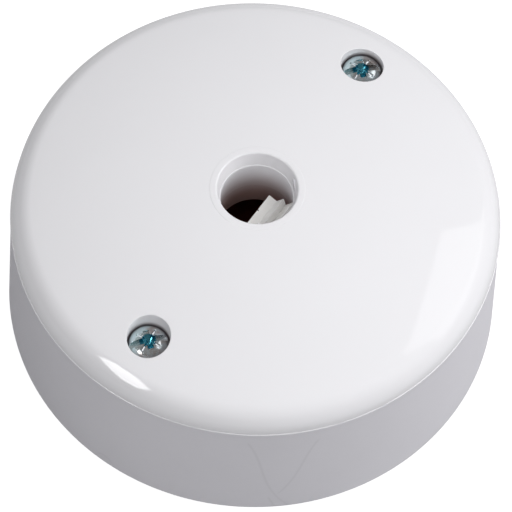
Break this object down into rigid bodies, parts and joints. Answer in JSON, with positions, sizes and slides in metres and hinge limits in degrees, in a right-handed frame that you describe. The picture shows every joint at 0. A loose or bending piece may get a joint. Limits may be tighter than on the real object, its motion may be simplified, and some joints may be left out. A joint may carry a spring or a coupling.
{
  "type": "electrical ceiling rose",
  "caption": "Round domed ceiling rose: one-piece cover with central cord hole and oblique cord grip, screwed over a base with brass terminal blocks.",
  "frame": {"origin": "centre of the back plane that lies against the ceiling", "axes": "+Z out of the ceiling through the domed face, X through the two cover screws, cord grip on the -Y side"},
  "size_m": [0.0804, 0.0804, 0.0349],
  "materials": {
    "cover_white": "glossy moulded white face, satin skirt",
    "base_dark": "dark brown phenolic moulding",
    "jaw_white": "plain white nylon",
    "zinc": "bright zinc plate with blue passivation",
    "steel": "plated steel",
    "brass": "plain machined brass",
    "nylon": "natural nylon"
  },
  "bodies": {
    "housing": {"cover": "cover_white", "base": "base_dark", "screw_insert_right": "brass", "screw_insert_left": "brass", "grip_nut": "brass", "loop_block": "brass", "neutral_block": "brass", "earth_block": "brass", "line_block": "brass"},
    "cord_jaw": {"cord_jaw": "jaw_white"},
    "grip_screw": {"grip_screw": "zinc"},
    "screw_ring_right": {"screw_ring_right": "nylon"},
    "cover_screw_right": {"cover_screw_right": "zinc"},
    "screw_ring_left": {"screw_ring_left": "nylon"},
    "cover_screw_left": {"cover_screw_left": "zinc"},
    "loop_screw_1": {"loop_screw_1": "steel"},
    "loop_screw_2": {"loop_screw_2": "steel"},
    "loop_screw_3": {"loop_screw_3": "steel"},
    "neutral_screw_1": {"neutral_screw_1": "steel"},
    "neutral_screw_2": {"neutral_screw_2": "steel"},
    "neutral_screw_3": {"neutral_screw_3": "steel"},
    "earth_screw_1": {"earth_screw_1": "steel"},
    "earth_screw_2": {"earth_screw_2": "steel"},
    "line_screw_1": {"line_screw_1": "steel"},
    "line_screw_2": {"line_screw_2": "steel"}
  },
  "joints": [
    {"name": "cover_screw_right_travel", "type": "slide", "parent": "housing", "child": "screw_ring_right", "axis": [0, 0, 1], "range_m": [0, 0.0073]},
    {"name": "cover_screw_right_turn", "type": "hinge", "parent": "screw_ring_right", "child": "cover_screw_right", "pos_m": [0.0308, 0, 0.0158], "axis": [0, 0, 1], "range_deg": [0, 4380.1]},
    {"name": "cover_screw_left_travel", "type": "slide", "parent": "housing", "child": "screw_ring_left", "axis": [0, 0, 1], "range_m": [0, 0.0073]},
    {"name": "cover_screw_left_turn", "type": "hinge", "parent": "screw_ring_left", "child": "cover_screw_left", "pos_m": [-0.0308, 0, 0.0158], "axis": [0, 0, 1], "range_deg": [0, 4380.1]},
    {"name": "jaw_slide", "type": "slide", "parent": "housing", "child": "cord_jaw", "axis": [0, 0.6428, 0.766], "range_m": [-0.0025, 0.003]},
    {"name": "grip_screw_turn", "type": "hinge", "parent": "cord_jaw", "child": "grip_screw", "pos_m": [0, -0.00728, 0.02346], "axis": [0, 0.6428, 0.766], "range_deg": [-1800.1, 2160.1]},
    {"name": "loop_screw_1_travel", "type": "slide", "parent": "housing", "child": "loop_screw_1", "axis": [0, 0, 1], "range_m": [0, 0.003]},
    {"name": "loop_screw_2_travel", "type": "slide", "parent": "housing", "child": "loop_screw_2", "axis": [0, 0, 1], "range_m": [0, 0.003]},
    {"name": "loop_screw_3_travel", "type": "slide", "parent": "housing", "child": "loop_screw_3", "axis": [0, 0, 1], "range_m": [0, 0.003]},
    {"name": "neutral_screw_1_travel", "type": "slide", "parent": "housing", "child": "neutral_screw_1", "axis": [0, 0, 1], "range_m": [0, 0.003]},
    {"name": "neutral_screw_2_travel", "type": "slide", "parent": "housing", "child": "neutral_screw_2", "axis": [0, 0, 1], "range_m": [0, 0.003]},
    {"name": "neutral_screw_3_travel", "type": "slide", "parent": "housing", "child": "neutral_screw_3", "axis": [0, 0, 1], "range_m": [0, 0.003]},
    {"name": "earth_screw_1_travel", "type": "slide", "parent": "housing", "child": "earth_screw_1", "axis": [0, 0, 1], "range_m": [0, 0.003]},
    {"name": "earth_screw_2_travel", "type": "slide", "parent": "housing", "child": "earth_screw_2", "axis": [0, 0, 1], "range_m": [0, 0.003]},
    {"name": "line_screw_1_travel", "type": "slide", "parent": "housing", "child": "line_screw_1", "axis": [0, 0, 1], "range_m": [0, 0.003]},
    {"name": "line_screw_2_travel", "type": "slide", "parent": "housing", "child": "line_screw_2", "axis": [0, 0, 1], "range_m": [0, 0.003]}
  ],
  "couplings": [
    {"joint": "cover_screw_right_turn", "follows": "cover_screw_right_travel", "rad_per_m": 10472},
    {"joint": "cover_screw_left_turn", "follows": "cover_screw_left_travel", "rad_per_m": 10472},
    {"joint": "grip_screw_turn", "follows": "jaw_slide", "rad_per_m": 12566}
  ]
}
